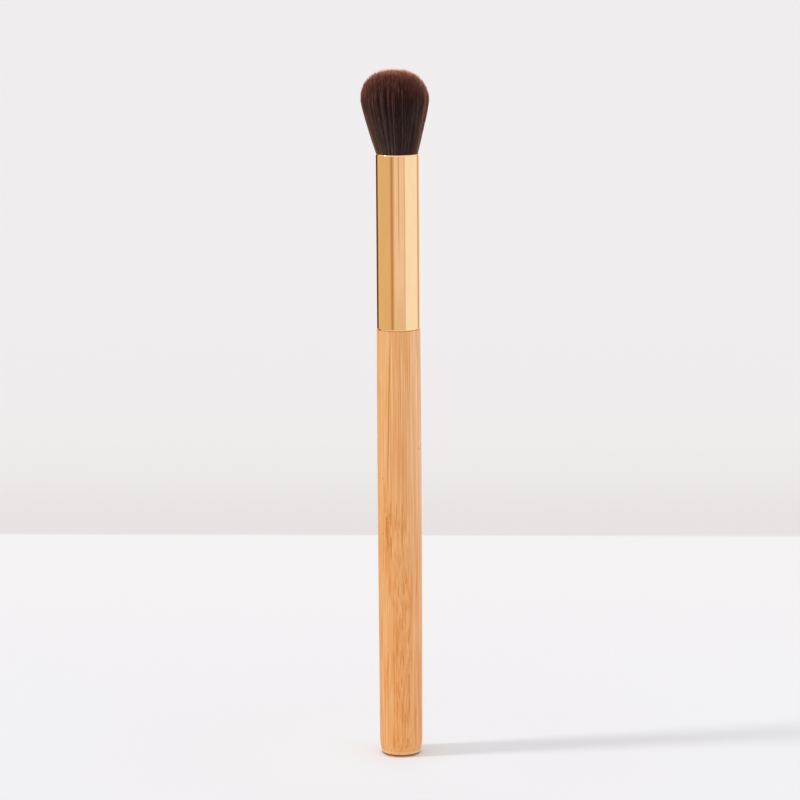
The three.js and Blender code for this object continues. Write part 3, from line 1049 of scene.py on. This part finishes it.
def add_thread():
    """The thread wound round the bundle: one tube on a steady helix."""
    low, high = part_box("binding_thread")
    radius = high.x - THREAD_R
    rise = high.z - low.z - 2 * THREAD_R
    turns = rise / THREAD_PITCH
    up = np.array([0.0, 0.0, 1.0])
    sides = np.linspace(0, math.tau, THREAD_SIDES, endpoint=False)
    rings = []
    for share in np.linspace(0, 1, round(turns * THREAD_STEPS) + 1):
        angle = math.tau * turns * share
        out = np.array([math.cos(angle), math.sin(angle), 0.0])
        centre = radius * out + (low.z + THREAD_R + rise * share) * up
        rings.append(centre + THREAD_R * (np.outer(np.cos(sides), out) + np.outer(np.sin(sides), up)))
    add_piece("binding_winding", loft(rings), cotton_thread(), "binding_thread")


def dress_hidden_nodes():
    """The glue and the resin inside the ferrule keep their solids and get a finish."""
    finishes = {
        "tenon_glue": cured("cured_glue", *GLUE_COLOURS, smooth=0.5, rough=0.7),
        "root_resin": cured("amber_resin", *RESIN_COLOURS, smooth=0.15, rough=0.3),
    }
    for node, material in finishes.items():
        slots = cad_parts[node].data.materials
        slots.clear()
        slots.append(material)


# Stage


def add_floor():
    """A wide level floor, which the metal doesn't mirror."""
    mesh = bpy.data.meshes.new("floor")
    corners = [(x * FLOOR_HALF, y * FLOOR_HALF, 0) for x, y in ((-1, -1), (1, -1), (1, 1), (-1, 1))]
    mesh.from_pydata(corners, [], [(0, 1, 2, 3)])
    mesh.materials.append(pale_floor())
    floor = bpy.data.objects.new("floor", mesh)
    floor.visible_glossy = False
    bpy.context.scene.collection.objects.link(floor)


def studio_panels(graph, turn, rise):
    """The panels round the brush by their turn in degrees, which the metal mirrors as upright bands. The
    front one has a line down its middle and a warmer lower part."""
    panels = graph.ramp(
        graph.plus(graph.math("DIVIDE", turn, 360.0), 0.5),
        [(degrees / 360 + 0.5, colour) for degrees, colour in STUDIO_BANDS],
    )
    off_line = graph.math("ABSOLUTE", graph.minus(turn, CENTRE_LINE_TURN))
    line = graph.times(graph.fade(off_line, *CENTRE_LINE_EDGE), graph.step(rise, *CENTRE_LINE_END))
    panels = graph.blend(line, panels, CENTRE_LINE)
    low = graph.times(graph.fade(rise, *LOW_FRONT_EDGE), graph.step(rise, *GROUND_EDGE))
    return graph.blend(graph.times(graph.window(turn, *FRONT_SPAN), low), panels, LOW_FRONT)


def light_world():
    """A pale room: panels round the brush, with the sky above them and the ground below, which are plain
    as light and brighter in the metal, and a backdrop for the camera."""
    world = bpy.data.worlds.new("studio")
    world.use_nodes = True
    bpy.context.scene.world = world
    graph = Graph(world.node_tree)
    x, y, z = graph.place("Generated")
    turn = graph.math("DEGREES", graph.math("ARCTAN2", x, graph.times(y, -1.0)))
    rays = graph.add("ShaderNodeLightPath").outputs
    sky = graph.blend(rays["Is Glossy Ray"], PLAIN_LIGHT, MIRRORED_SKY)
    ground = graph.blend(rays["Is Glossy Ray"], PLAIN_LIGHT, MIRRORED_GROUND)
    room = graph.blend(graph.step(z, *SKY_EDGE), studio_panels(graph, turn, z), sky)
    room = graph.blend(graph.fade(z, *GROUND_EDGE), room, ground)
    background = graph.add("ShaderNodeBackground")
    graph.put(background.inputs["Color"], graph.blend(rays["Is Camera Ray"], room, BACKDROP_SEEN))
    output = graph.add("ShaderNodeOutputWorld")
    world.node_tree.links.new(background.outputs[0], output.inputs["Surface"])


def add_sun():
    """A broad sun from the left and a little from the front, for a soft shadow."""
    sun = bpy.data.lights.new("key", "SUN")
    sun.energy = SUN_STRENGTH
    sun.angle = SUN_SIZE
    key = bpy.data.objects.new("key", sun)
    key.rotation_euler = Euler((0, SUN_ELEVATION - math.pi / 2, SUN_HEADING))
    bpy.context.scene.collection.objects.link(key)


def add_camera():
    """A long lens a little above the tuft, looking down on the front of the brush."""
    lens = bpy.data.cameras.new("camera")
    lens.lens = CAMERA_LENS_MM
    lens.clip_start = CAMERA_NEAR
    camera = bpy.data.objects.new("camera", lens)
    aim = Euler((math.pi / 2 - CAMERA_PITCH, 0, CAMERA_YAW)).to_matrix().to_4x4()
    place = Matrix.Translation((0, -CAMERA_DISTANCE, CAMERA_HEIGHT))
    camera.matrix_world = place @ aim @ Matrix.Rotation(CAMERA_ROLL, 4, "Z")
    bpy.context.scene.collection.objects.link(camera)
    bpy.context.scene.camera = camera


bpy.context.scene.view_settings.view_transform = "Standard"
add_camera()
add_handle()
add_ferrule()
add_tuft()
add_thread()
dress_hidden_nodes()
add_floor()
light_world()
add_sun()
